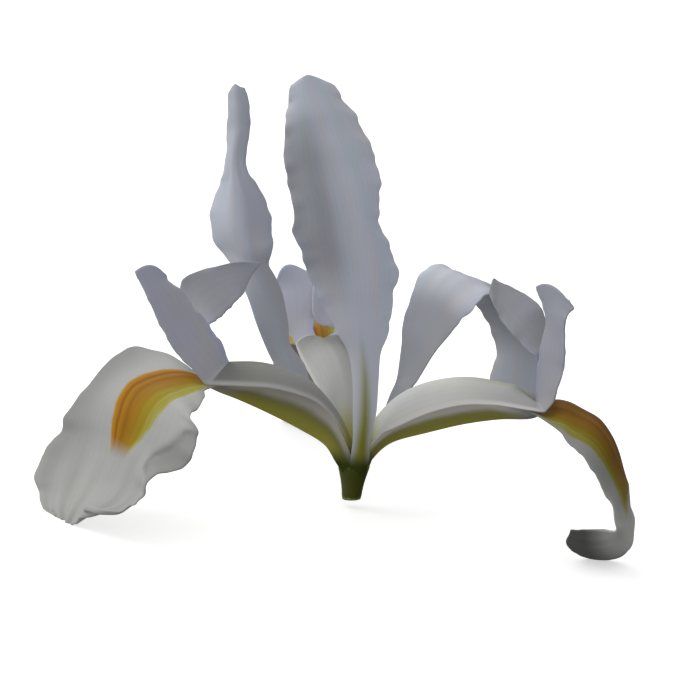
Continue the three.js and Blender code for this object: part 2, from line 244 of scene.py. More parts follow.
# `value` times `amount`, on top of `base`.
def on_top(tree, value, amount, base):
    return figure(tree, "MULTIPLY_ADD", value, amount, base)


def noise_in(tree, where, scale, detail):
    node = wire(tree, "ShaderNodeTexNoise", {"Vector": where, "Scale": scale, "Detail": detail})
    return node.outputs["Fac"]


def stretched_noise(tree, where, stretch, detail):
    mapped = wire(tree, "ShaderNodeMapping", {"Vector": where, "Scale": stretch})
    return noise_in(tree, mapped.outputs["Vector"], 1.0, detail)


# A relief of `depth` millimetres.
def relief_normal(tree, height, strength, depth):
    node = wire(tree, "ShaderNodeBump", {"Strength": strength, "Distance": depth * MM, "Height": height})
    return node.outputs["Normal"]


def height_in(tree, where):
    return wire(tree, "ShaderNodeSeparateXYZ", {"Vector": where}).outputs["Z"]


def colour_ramp(tree, factor, stops):
    node = wire(tree, "ShaderNodeValToRGB", {"Fac": factor})
    ramp = node.color_ramp
    while len(ramp.elements) < len(stops):
        ramp.elements.new(0.5)
    for element, (spot, colour) in zip(ramp.elements, stops):
        element.position = spot
        element.color = (*colour, 1)
    return node.outputs["Color"]


def finish_piece(piece, material, node):
    deselect_all()
    piece.select_set(True)
    bpy.context.view_layer.objects.active = piece
    bpy.ops.object.shade_smooth()
    piece.data.materials.clear()
    piece.data.materials.append(material)
    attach(piece, "root")
    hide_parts(node)


green_tube, tree, shader = new_material("green_tube")
where = wire(tree, "ShaderNodeTexCoord").outputs["Object"]
grown = wire(tree, "ShaderNodeMapRange", {
    "Value": height_in(tree, where),
    "From Min": (settle @ Vector((0, 0, 0))).z,
    "From Max": (settle @ Vector((0, 0, MOUTH_HEIGHT))).z,
})
streaks = stretched_noise(tree, where, STREAK_STRETCH, 4.0)
mottled = on_top(tree, streaks, STREAK_SHARE, grown.outputs["Result"])
greens = [(0.09, CUT_GREEN), (0.17, LOW_GREEN), (0.5, DARK_GREEN), (0.9, DARK_GREEN), (1, FOOT_GREEN)]
connect(tree, shader, {
    "Base Color": colour_ramp(tree, mottled, greens),
    "Normal": relief_normal(tree, streaks, 0.4, 0.1),
    "Roughness": 0.42,
    "Specular IOR Level": 0.2,
    "Subsurface Weight": 0.1,
})
finish_piece(tube, green_tube, "tube")


# The falls: the three outer petals. Each rises from the tube as a keeled claw that arches outward,
# then spreads into a broad blade that hangs down. They are thin living tissue, thickest along the
# midrib, with ruffled margins and an orange signal patch where the blade begins.

# The azimuths of the falls, in degrees, which the style arms and the stamens share.
LEFT = 218
RIGHT = -20
BACK = 103

# `keel` is the claw's rib and `claw` the half width and rise of its margins. `blade` has the
# clockwise margin, the rib and the anticlockwise margin, `waves` the count, phase and depth of
# each margin's ruffles, and `signal` the place of the patch's far and near edge, by u.
FALLS = {
    "left": {
        "azimuth": LEFT,
        "tip_round": 0.01,
        "pleat_depth": 0.45,
        "keel": [
            (2.3, 4.6), (4.5, 7.7), (7.4, 11.7), (13.4, 15.55), (20.4, 19.45), (27, 22.85),
            (33.2, 25.8),
        ],
        "claw": [(1.3, 0.3), (2.5, 2.2), (2.7, 5.6), (3.3, 6.5), (4, 5.6), (4.4, 3.8), (4.9, 1.4)],
        "blade": [
            [(36.4, -8.4, 30.8), (36.8, 0, 28.8), (39, 6.4, 27.2)],
            [(38.8, -11.6, 31.8), (40.2, 0, 29.8), (41, 9, 26.2)],
            [(42, -12.9, 32.3), (43.4, 0, 29.2), (44.2, 11.6, 25.4)],
            [(45, -14.4, 31.1), (46.2, 0, 28.2), (47.6, 14.4, 24.8)],
            [(48.2, -15.2, 28.5), (48.6, 0, 27), (48.4, 16.9, 23.6)],
            [(50.6, -15.6, 25.5), (50.8, 0, 25.2), (49, 18.3, 21.4)],
            [(52.6, -15.9, 22.9), (52.2, 0, 23), (50, 18.7, 18.3)],
            [(54.8, -16.5, 20.2), (53, 0, 20.6), (51.7, 16.8, 16)],
            [(55.8, -16.6, 17.9), (53.6, 0, 18.2), (54.1, 14.6, 14.8)],
            [(57.7, -16.9, 15.8), (54.2, 0, 15.6), (55.8, 13.2, 13.6)],
            [(59.4, -17, 13.2), (55.2, 0, 13.2), (56.4, 12.3, 11.3)],
            [(61.4, -15.6, 9.6), (56.4, 0, 11), (57.4, 11.8, 9.6)],
            [(62, -13.8, 7.6), (58.4, 0, 8.6), (59, 10.2, 8.8)],
            [(62.9, -10.8, 5.7), (60.4, -0.6, 6.6), (61.2, 7, 8.5)],
            [(62.4, -7, 5.2), (62, -2.2, 4.2), (62.2, 1.4, 9)],
        ],
        "waves": {-1: (5, 0.1, 0.35), 1: (8, 0.3, 0.4)},
        "signal": [
            (0.28, 0.4, 1.1), (0.33, 0.16, 0.98), (0.37, 0.04, 0.87), (0.42, -0.17, 0.74),
            (0.47, -0.28, 0.66), (0.52, -0.3, 0.6), (0.57, -0.23, 0.56), (0.62, -0.17, 0.52),
            (0.67, -0.14, 0.46), (0.72, -0.12, 0.38), (0.76, -0.1, 0.28),
        ],
    },
    "right": {
        "azimuth": RIGHT,
        "tip_round": 0.03,
        "pleat_depth": 0.05,
        "keel": [
            (1.9, 5), (3.5, 8.2), (7.4, 11.7), (14.4, 14.1), (22, 16.4), (29, 17.85), (35.6, 18.6),
        ],
        "claw": [(1.3, 0.3), (2.5, 1.3), (2.9, 3.1), (3.5, 4.2), (4.2, 4.6), (4.5, 4.2), (5, 2.4)],
        "blade": [
            [(40.6, -6.8, 18.9), (38.8, 0, 21.4), (38, 6.5, 20.2)],
            [(42.8, -8.7, 18), (41.8, 0, 21.6), (39.8, 9, 18.6)],
            [(44.8, -10.4, 16.6), (44.8, 0, 20.4), (42, 11.5, 16)],
            [(46.8, -11.6, 15.2), (47.8, 0, 19), (44.2, 12.8, 13.2)],
            [(48.8, -12.6, 13.8), (50, 0, 16.5), (46, 13.4, 10.2)],
            [(50.4, -13.2, 12), (51.5, 0, 13.5), (47.5, 14, 7)],
            [(51.8, -13.2, 10), (52.5, 0, 10), (49.2, 14, 4.2)],
            [(52.8, -13, 7.8), (53.1, 0, 6.9), (50.5, 14.3, 3.4)],
            [(53.8, -12.8, 5.8), (53.2, 0, 3.8), (51.3, 13.8, 1.2)],
            [(54, -11.9, 3.2), (53.6, 0, 0.8), (51.9, 12.8, -2)],
            [(53.8, -9.8, 0.8), (53.4, 0, -2.4), (52.4, 11.6, -5.6)],
            [(51, -8.4, 0.2), (52.2, 0, -5), (52.3, 10.4, -8.3)],
            [(47.8, -7, -0.2), (49.6, 0, -6.6), (49.6, 8.4, -9.3)],
            [(45.2, -5.8, -0.8), (46.2, 0, -6.6), (46.4, 7, -9.4)],
            [(43, -4.8, -1.1), (42.3, 0, -5.3), (43.2, 5, -9)],
        ],
        "waves": {-1: (4, 0.2, 0.2), 1: (7, 0.6, 0.4)},
        "signal": [
            (0.31, -1.1, 1), (0.38, -1, 0.9), (0.45, -0.92, 0.8), (0.52, -0.85, 0.7), (0.6, -0.8, 0.65),
            (0.7, -0.75, 0.5), (0.77, -0.6, 0.3),
        ],
    },
    "back": {
        "azimuth": BACK,
        "tip_round": 0.03,
        "pleat_depth": 0.45,
        "keel": [(1.9, 5), (3.6, 7.8), (7.5, 11), (14, 15.2), (20.5, 18.6), (27, 21.2), (33, 23.6)],
        "claw": [(1.3, 0.3), (2.5, 1.3), (2.9, 3.2), (3.5, 3.9), (4.2, 3.7), (4.3, 3), (4.8, 1.4)],
        "blade": [
            [(38, -8, 25.5), (38.5, 0, 26.6), (38, 6.5, 24)],
            [(42, -12, 25.5), (43, 0, 27.8), (41.5, 6.9, 21.6)],
            [(46, -14, 24), (47.5, 0, 27), (45, 6.8, 18.4)],
            [(50, -15, 20.5), (51.5, 0, 24), (48, 6.6, 15.3)],
            [(53, -15.5, 17), (54, 0, 19.5), (51, 7, 12.5)],
            [(56, -15, 12.5), (56, 0, 14.5), (53.5, 6.5, 10)],
            [(58, -13, 8.5), (58, 0, 9.5), (56, 5.5, 7.8)],
            [(59.5, -9, 5.5), (59.5, 0, 5.2), (58.5, 4.5, 5.5)],
            [(60.5, -5, 3.3), (60.5, 0, 2.5), (60, 3, 3.5)],
        ],
        "waves": {-1: (6, 0.4, 0.7), 1: (7, 0, 0.6)},
        "signal": [
            (0.28, -0.9, 1.1), (0.4, -0.7, 1.2), (0.46, -0.6, 1.1), (0.52, -0.6, 0.6),
            (0.6, -0.45, 0.45), (0.7, -0.2, 0.2),
        ],
    },
}


# A petal's own directions are outward, sideways (anticlockwise seen from above) and up.
def place(azimuth, point):
    out, side, up = point
    turn = math.radians(azimuth)
    return Vector((
        out * math.cos(turn) - side * math.sin(turn),
        out * math.sin(turn) + side * math.cos(turn),
        up,
    ))


# A smooth curve through evenly counted points, and the point at the share u of its way. It may turn
# sharply at some of the points, its corners.
def along(points, u, corners=()):
    reach = min(max(u, 0), 1) * (len(points) - 1)
    i = min(int(reach), len(points) - 2)
    w = reach - i
    start, end = points[i], points[i + 1]
    before = points[i - 1] if i > 0 and i not in corners else 2 * start - end
    after = points[i + 2] if i + 2 < len(points) and i + 1 not in corners else 2 * end - start
    leave, arrive = (end - before) / 2, (after - start) / 2
    return (
        (2 * start - 2 * end + leave + arrive) * w**3
        + (3 * end - 3 * start - 2 * leave - arrive) * w**2
        + leave * w
        + start
    )


# From 0 at `low` to 1 at `high`, with soft ends.
def smooth(value, low, high):
    step = min(max((value - low) / (high - low), 0), 1)
    return step * step * (3 - 2 * step)


# 1 between `full` and `fade`, and 0 before `start` and past `end`.
def within(value, start, full, fade, end):
    return smooth(value, start, full) * (1 - smooth(value, fade, end))


# A value read from a table of stations along u, straight between them.
def table_at(stations, u, column):
    for before, after in zip(stations, stations[1:]):
        if u <= after[0]:
            break
    way = min(max((u - before[0]) / (after[0] - before[0]), 0), 1)
    return before[column] + (after[column] - before[column]) * way


def sheet_normals(grid):
    last, end = len(grid) - 1, len(grid[0]) - 1
    normals = []
    for i, row in enumerate(grid):
        above, below = grid[min(i + 1, last)], grid[max(i - 1, 0)]
        normals.append([
            (above[j] - below[j]).cross(row[min(j + 1, end)] - row[max(j - 1, 0)]).normalized()
            for j in range(end + 1)
        ])
    return normals


# The uneven course of a margin, in and out along the petal.
def nick(u):
    waver = math.sin(61 * u) + 0.7 * math.sin(103 * u + 2) + 0.5 * math.sin(171 * u + 1)
    return smooth(u, 0.2, 0.4) * waver


# The middle surface of a petal between its clockwise margin (v = -1), its rib (v = 0) and its
# anticlockwise margin (v = 1), from its foot (u = 0) to its tip (u = 1). It is keeled like a V by
# the share `keel(u)`, rounded off at the tip, and `swell(u, v)` lifts it into ruffles and folds.
def petal_sheet(rails, rows, columns, tip_round, scallop, keel, swell, corners=()):
    flat = []
    for i in range(rows + 1):
        row = []
        for j in range(columns + 1):
            v = 2 * j / columns - 1
            u = i / rows * (1 - tip_round * v * v)
            v *= 1 + scallop(u) * v * v * nick(u)
            low, mid, high = (along(rail, u, corners) for rail in rails)
            curved = low * (v * (v - 1) / 2) + mid * (1 - v * v) + high * (v * (v + 1) / 2)
            bent = mid.lerp(high if v > 0 else low, abs(v))
            row.append(curved.lerp(bent, keel(i / rows)))
        flat.append(row)
    normals = sheet_normals(flat)
    return [
        [point + normals[i][j] * swell(i / rows, 2 * j / columns - 1) for j, point in enumerate(row)]
        for i, row in enumerate(flat)
    ]


# A ruffled margin swings to and fro more and more towards the petal's edge, in uneven waves.
def ruffle(waves, u, v):
    count, phase, depth = waves[1 if v > 0 else -1]
    turn = 2 * math.pi * (count * u + phase)
    return depth * abs(v) ** 5 * (math.sin(turn) + 0.35 * math.sin(2.3 * turn + 1))


# Shallow pleats run lengthwise beside the rib, and drift a little to the side on their way.
def pleats(u, v, count, depth):
    drift = 0.06 * math.sin(9 * u) + 0.04 * math.sin(17 * u + 1)
    turn = 2 * math.pi * (count * (abs(v) + drift) + 0.15)
    return depth * math.sin(turn) * min(abs(v) * 3, 1)


# The sheet becomes a mesh. Its attribute `blade` keeps v, u and which face a point is on (0 the
# upper, 1 the under face), and the materials follow it.
def petal_sheet_mesh(name, sheet, across=lambda v: v, lengthwise=lambda u: u):
    rows, columns = len(sheet) - 1, len(sheet[0]) - 1
    deselect_all()
    bpy.ops.mesh.primitive_grid_add(x_subdivisions=columns, y_subdivisions=rows, size=1, calc_uvs=False)
    piece = bpy.context.object
    piece.name = name
    blade = piece.data.attributes.new("blade", "FLOAT_VECTOR", "POINT")
    for vertex, entry in zip(piece.data.vertices, blade.data):
        i = round((vertex.co.y + 0.5) * rows)
        j = round((0.5 - vertex.co.x) * columns)
        entry.vector = (across(2 * j / columns - 1), lengthwise(i / rows), 0)
        vertex.co = settle @ sheet[i][j]
    return piece


# The attribute keeps the place in the signal patch, across and along it, and the painted shade
# there: how much darker the colour is painted where light falls weaker, or lighter, painted light,
# where that is below 0.
def keep_marks_and_shade(piece, marks_and_shade_at):
    marks_and_shade = piece.data.attributes.new("marks_and_shade", "FLOAT_VECTOR", "POINT")
    for entry, spot in zip(marks_and_shade.data, piece.data.attributes["blade"].data):
        entry.vector = marks_and_shade_at(spot.vector.y, spot.vector.x)


# The sheet gets its thickness and a soft rim, and what bears on the ground is flat.
def solidify_blade(piece, thickness):
    bpy.context.view_layer.objects.active = piece
    modifier = piece.modifiers.new("thickness", "SOLIDIFY")
    modifier.thickness = thickness * MM
    modifier.offset = 0
    bpy.ops.object.modifier_apply(modifier=modifier.name)
    half = len(piece.data.vertices) // 2
    for entry in piece.data.attributes["blade"].data[half:]:
        entry.vector.z = 1
    modifier = piece.modifiers.new("soft_rim", "SUBSURF")
    modifier.levels = 1
    modifier.render_levels = 1
    bpy.ops.object.modifier_apply(modifier=modifier.name)
    for vertex in piece.data.vertices:
        vertex.co.z = max(vertex.co.z, 0)


# The same as `smooth`, in a node tree.
def share(tree, value, low, high):
    sockets = {"Value": value, "From Min": low, "From Max": high}
    return wire(tree, "ShaderNodeMapRange", sockets, interpolation_type="SMOOTHSTEP").outputs["Result"]


def product(tree, first, second):
    return figure(tree, "MULTIPLY", first, second)


def without(tree, value):
    return figure(tree, "SUBTRACT", 1.0, value)


def share_within(tree, value, start, full, fade, end):
    return product(tree, share(tree, value, start, full), without(tree, share(tree, value, fade, end)))


def mix_colour(tree, factor, first, second, blend_type="MIX"):
    sockets = {"Fac": factor}
    for name, colour in (("Color1", first), ("Color2", second)):
        sockets[name] = colour if isinstance(colour, bpy.types.NodeSocket) else (*colour, 1)
    return wire(tree, "ShaderNodeMixRGB", sockets, blend_type=blend_type).outputs["Color"]


def attribute_parts(tree, name):
    vector = wire(tree, "ShaderNodeAttribute", attribute_name=name).outputs["Vector"]
    return wire(tree, "ShaderNodeSeparateXYZ", {"Vector": vector}).outputs


CLOUD_SCALE = 90.0
CELL_SCALE = 1400.0
SWAY_SCALE = 160.0
FUNNEL_GREEN = (0.075, 0.105, 0.012)
FUNNEL_HEIGHT = 9.6
FUNNEL_FADE = 2
FUNNEL_SWAY = 1.5
VEIN_TINT = (0.86, 0.87, 0.9)
VEIN_SWAY = 2.2
PALE = (0.62, 0.63, 0.6)
PALE_GREY = (0.58, 0.58, 0.575)
OLIVE = (0.68, 0.645, 0.11)
DARK_OLIVE = (0.42, 0.395, 0.12)
# The mauve band's own colour, made lighter still by painted light against the arm's shadow.
LIT_MAUVE = (0.9, 0.85, 0.77)


# Petal tissue: fine veins fan out from the foot, the skin is faintly cellular and lets light
# through, and it shines less where its colour is deep. Every petal is green down in the funnel.
# `paint` gives the colour from the blade's v, u and face, the clouds and the place in the signal.
def petal_tissue(name, paint, see_through, vein_count):
    material, tree, shader = new_material(name)
    where = wire(tree, "ShaderNodeTexCoord").outputs["Object"]
    v, u, face = attribute_parts(tree, "blade")
    across, lengthwise, shade = attribute_parts(tree, "marks_and_shade")
    clouds = noise_in(tree, where, CLOUD_SCALE, 4.0)
    cells = noise_in(tree, where, CELL_SCALE, 2.0)
    sway = noise_in(tree, where, SWAY_SCALE, 3.0)
    colour = paint(tree, v=v, u=u, face=face, clouds=clouds, across=across, lengthwise=lengthwise)
    # The colour is scaled by one less the painted shade: darker where light falls weaker, lighter,
    # painted light, where the shade is below 0.
    lit = {0: colour, "Scale": without(tree, shade)}
    colour = wire(tree, "ShaderNodeVectorMath", lit, operation="SCALE").outputs["Vector"]
    height = on_top(tree, clouds, FUNNEL_SWAY * MM, height_in(tree, where))
    funnel_top = (settle @ Vector((0, 0, FUNNEL_HEIGHT))).z
    funnel_fade = FUNNEL_FADE * MM
    in_funnel = without(tree, share(tree, height, funnel_top - funnel_fade, funnel_top + funnel_fade))
    in_funnel = product(tree, in_funnel, without(tree, share(tree, u, 0.12, 0.2)))
    colour = mix_colour(tree, in_funnel, colour, FUNNEL_GREEN)
    fan = on_top(tree, sway, VEIN_SWAY, product(tree, v, vein_count * math.pi))
    vein = share(tree, figure(tree, "SINE", fan), 0.35, 1.0)
    vein = product(tree, vein, mix_value(tree, clouds, 0.03, 0.3))
    colour = mix_colour(tree, vein, colour, VEIN_TINT, "MULTIPLY")
    relief = on_top(tree, clouds, 2.0, on_top(tree, cells, 0.35, product(tree, vein, 1.2)))
    normal = relief_normal(tree, relief, 0.3, 0.1)
    blue = wire(tree, "ShaderNodeSeparateColor", {"Color": colour}).outputs["Blue"]
    connect(tree, shader, {
        "Base Color": colour,
        "Normal": normal,
        "Roughness": mix_value(tree, cells, 0.48, 0.66),
        "Specular IOR Level": mix_value(tree, share(tree, blue, 0.02, 0.1), 0.16, 0.35),
        "Sheen Weight": 0.08,
        "Sheen Roughness": 0.4,
    })
    glow = wire(tree, "ShaderNodeBsdfTranslucent", {"Color": colour, "Normal": normal})
    both = wire(tree, "ShaderNodeMixShader", {0: see_through, 1: shader.outputs[0], 2: glow.outputs[0]})
    connect(tree, tree.nodes["Material Output"], {"Surface": both.outputs[0]})
    return material


# The signal from its richest edge to its pale one: deep orange with two thin brown lines, which
# fades through yellow to green-white.
SIGNAL_COLOURS = [
    (0, PALE),
    (0.06, (0.64, 0.42, 0.1)),
    (0.1, (0.62, 0.29, 0.01)),
    (0.15, (0.6, 0.26, 0.006)),
    (0.2, (0.36, 0.14, 0.005)),
    (0.26, (0.58, 0.27, 0.008)),
    (0.33, (0.5, 0.225, 0.01)),
    (0.38, (0.4, 0.18, 0.01)),
    (0.44, (0.5, 0.23, 0.01)),
    (0.6, (0.48, 0.27, 0.012)),
    (0.78, (0.48, 0.385, 0.025)),
    (0.92, (0.52, 0.5, 0.1)),
    (1, PALE),
]
THREAD_STRETCH = (11, 1.6, 1)


# The signal's colours run in fine threads along the petal. The claw's keel is olive green beneath,
# with a pale mauve band above it, painted lighter still as painted light against the style arm's
# shadow.
def fall_paint(tree, v, u, face, clouds, across, lengthwise):
    in_signal = wire(tree, "ShaderNodeCombineXYZ", {"X": across, "Y": lengthwise}).outputs["Vector"]
    threads = stretched_noise(tree, in_signal, THREAD_STRETCH, 3.0)
    frayed = on_top(tree, clouds, 0.12, product(tree, across, mix_value(tree, threads, 0.62, 1.38)))
    inside = share_within(tree, frayed, 0.02, 0.1, 0.9, 1.06)
    inside = product(tree, inside, without(tree, share(tree, across, 0.96, 1.06)))
    ends = share_within(tree, on_top(tree, clouds, 0.2, lengthwise), 0.06, 0.16, 0.96, 1.12)
    upper = mix_value(tree, without(tree, share(tree, face, 0.3, 0.7)), 0.35, 1.0)
    tissue = mix_colour(tree, share(tree, clouds, 0.3, 0.75), PALE, PALE_GREY)
    shown = product(tree, product(tree, inside, ends), upper)
    tissue = mix_colour(tree, shown, tissue, colour_ramp(tree, frayed, SIGNAL_COLOURS))
    away = figure(tree, "ABSOLUTE", v)
    claw_beneath = product(tree, without(tree, share(tree, u, 0.24, 0.3)), share(tree, face, 0.3, 0.7))
    above_keel = share(tree, on_top(tree, clouds, 0.3, away), 0.66, 0.98)
    tissue = mix_colour(tree, product(tree, claw_beneath, above_keel), tissue, LIT_MAUVE)
    olive = mix_colour(tree, share(tree, away, 0.1, 0.75), OLIVE, DARK_OLIVE)
    tissue = mix_colour(tree, product(tree, claw_beneath, without(tree, above_keel)), tissue, olive)
    return mix_colour(tree, without(tree, share(tree, u, 0.0, 0.1)), tissue, FOOT_GREEN)


# The left fall's near edge is folded back in a lobe: the crease's place across the blade, by u.
LOBE_CREASE = [(0.53, 0.95), (0.57, 0.82), (0.62, 0.7), (0.68, 0.575), (0.74, 0.62), (0.79, 0.95)]
LOBE_DROP = 0.7
LOBE_TILT = 4


def lobe_fold(u, v):
    beyond = v - table_at(LOBE_CREASE, u, 1)
    fold = LOBE_DROP * smooth(beyond, 0, 0.08) + LOBE_TILT * max(beyond, 0)
    return within(u, 0.52, 0.58, 0.74, 0.8) * fold


# The place in the signal patch: from 0 at its richest to 1 at its pale edge, and from 0 to 1 along
# the petal. The left fall's patch is one-sided and the others lie about the midrib, and turn
# yellower towards their ends.
def signal_at(side, stations, u, v):
    lengthwise = (u - stations[0][0]) / (stations[-1][0] - stations[0][0])
    far, near = table_at(stations, u, 1), table_at(stations, u, 2)
    if side == "left":
        return (v - far) / (near - far), lengthwise
    richest = 0.14 + 0.6 * smooth(u, 0.58, 0.72)
    return richest + (1 - richest) * (v / near if v > 0 else v / far) ** 1.75, lengthwise


# Painted shade on the falls: how much darker their colour is painted where light falls weaker.
# The left one is darker at its lobe and far margin and painted lighter at its near margin, and
# the right one is darker but for its claw and its lit lower half, which are painted lighter, and
# most of all at its hooked tip.
def fall_painted_shade(side, u, v):
    if side == "left":
        beyond = v - table_at(LOBE_CREASE, u, 1)
        lobe = 0.2 * smooth(beyond, 0, 0.1) * within(u, 0.52, 0.58, 0.76, 0.84)
        near = 0.16 * smooth(v, 0.3, 0.8) * within(u, 0.3, 0.36, 0.44, 0.52)
        far = 0.28 * smooth(-v, 0.25, 0.95) * within(u, 0.3, 0.45, 0.7, 0.95)
        return lobe - near + far
    if side == "right":
        claw = (0.16 + 0.26 * smooth(abs(v), 0.3, 0.7)) * (1 - smooth(u, 0.25, 0.31))
        lit = 0.26 * smooth(u, 0.58, 0.7) + 0.45 * within(u, 0.7, 0.8, 0.84, 0.91)
        return 0.34 - claw - lit + 0.645 * smooth(u, 0.87, 0.95)
    return 0


FALL_THICKNESS = 0.42
FALL_ROWS = 120
FALL_COLUMNS = 40
FALL_SCALLOP = 0.008
FALL_KEEL = 0.8
FALL_PLEATS = 3
FALL_VEINS = 22
FALL_SEE_THROUGH = 0.3
FOOT_WRAP = 0.7
fall_tissue = petal_tissue("fall_tissue", fall_paint, FALL_SEE_THROUGH, FALL_VEINS)
for side, fall in FALLS.items():
    keel = fall["keel"]
    margins = {}
    for sign, column in ((-1, 0), (1, 2)):
        margin = [(out, sign * width, up + rise) for (out, up), (width, rise) in zip(keel, fall["claw"])]
        margin[:2] = [(out * FOOT_WRAP, width, up) for out, width, up in margin[:2]]
        margins[sign] = margin + [station[column] for station in fall["blade"]]
    rib = [(out, 0, up) for out, up in keel] + [station[1] for station in fall["blade"]]
    rails = (margins[-1], rib, margins[1])
    rails = [[place(fall["azimuth"], point) for point in rail] for rail in rails]
    # The claw's keel flattens and the blade's ruffles begin a few stations about the bend.
    steps = len(rib) - 1
    bend = (len(keel) - 1) / steps
    sheet = petal_sheet(
        rails,
        FALL_ROWS,
        FALL_COLUMNS,
        fall["tip_round"],
        lambda u: FALL_SCALLOP,
        lambda u: FALL_KEEL * (1 - smooth(u, bend - 2.5 / steps, bend + 1 / steps)),
        lambda u, v: (
            ruffle(fall["waves"], u, v) * smooth(u, bend + 1 / steps, bend + 4 / steps)
            + pleats(u, v, FALL_PLEATS, fall["pleat_depth"]) * smooth(u, 0.62, 0.95)
        ),
    )
    if side == "left":
        for i, row in enumerate(sheet):
            for j, point in enumerate(row):
                point.y += lobe_fold(i / FALL_ROWS, 2 * j / FALL_COLUMNS - 1)
    piece = petal_sheet_mesh(f"fall_{side}_petal", sheet)
    # Each point keeps its place in the signal and the fall's painted shade.
    keep_marks_and_shade(piece, lambda u, v: (*signal_at(side, fall["signal"], u, v), fall_painted_shade(side, u, v)))
    solidify_blade(piece, FALL_THICKNESS)
    finish_piece(piece, fall_tissue, f"fall_{side}")


